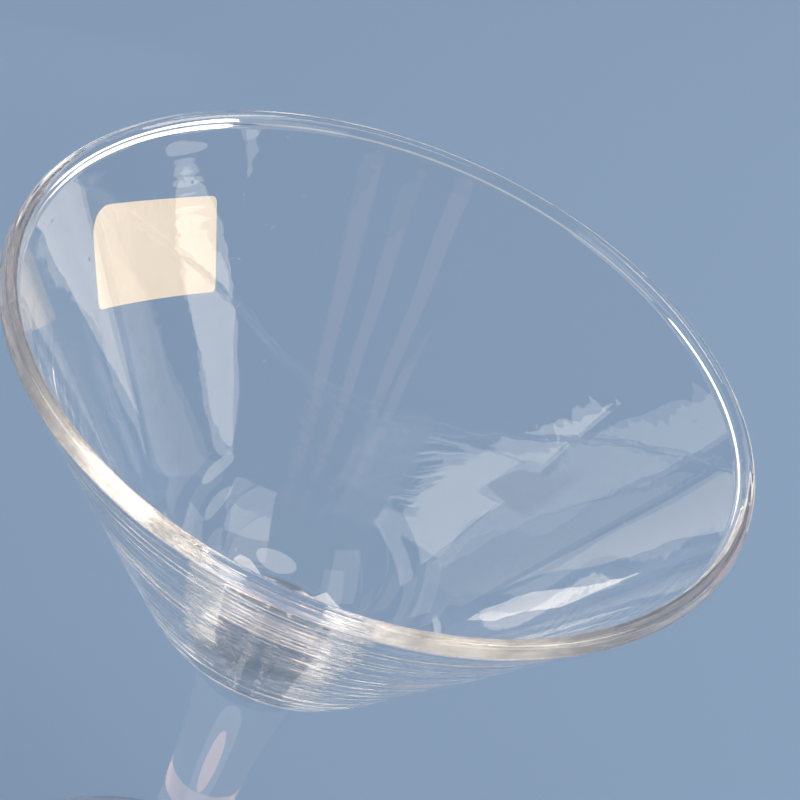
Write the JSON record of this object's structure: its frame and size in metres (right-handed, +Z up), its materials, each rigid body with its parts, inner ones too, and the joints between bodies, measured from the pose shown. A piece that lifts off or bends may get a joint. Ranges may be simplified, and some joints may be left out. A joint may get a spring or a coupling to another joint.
{
  "type": "martini glass",
  "caption": "Clear cocktail glass with a wide conical bowl, a solid flared stem, a round flat foot and a small blank paper label outside the bowl.",
  "frame": {"origin": "centre of the foot on the plane that the glass rests on", "axes": "+Z up along the axis of stem and bowl, towards the rim; the label is on the outside of the bowl, between -X and +Y"},
  "size_m": [0.115, 0.115, 0.17],
  "materials": {
    "glass": "clear colourless soda-lime glass, fire polished, with fine blown ripples round the wall",
    "paper": "matt cream self-adhesive paper, blank"
  },
  "bodies": {
    "root": {"bowl": "glass", "stem": "glass", "foot": "glass", "label": "paper"}
  },
  "joints": []
}
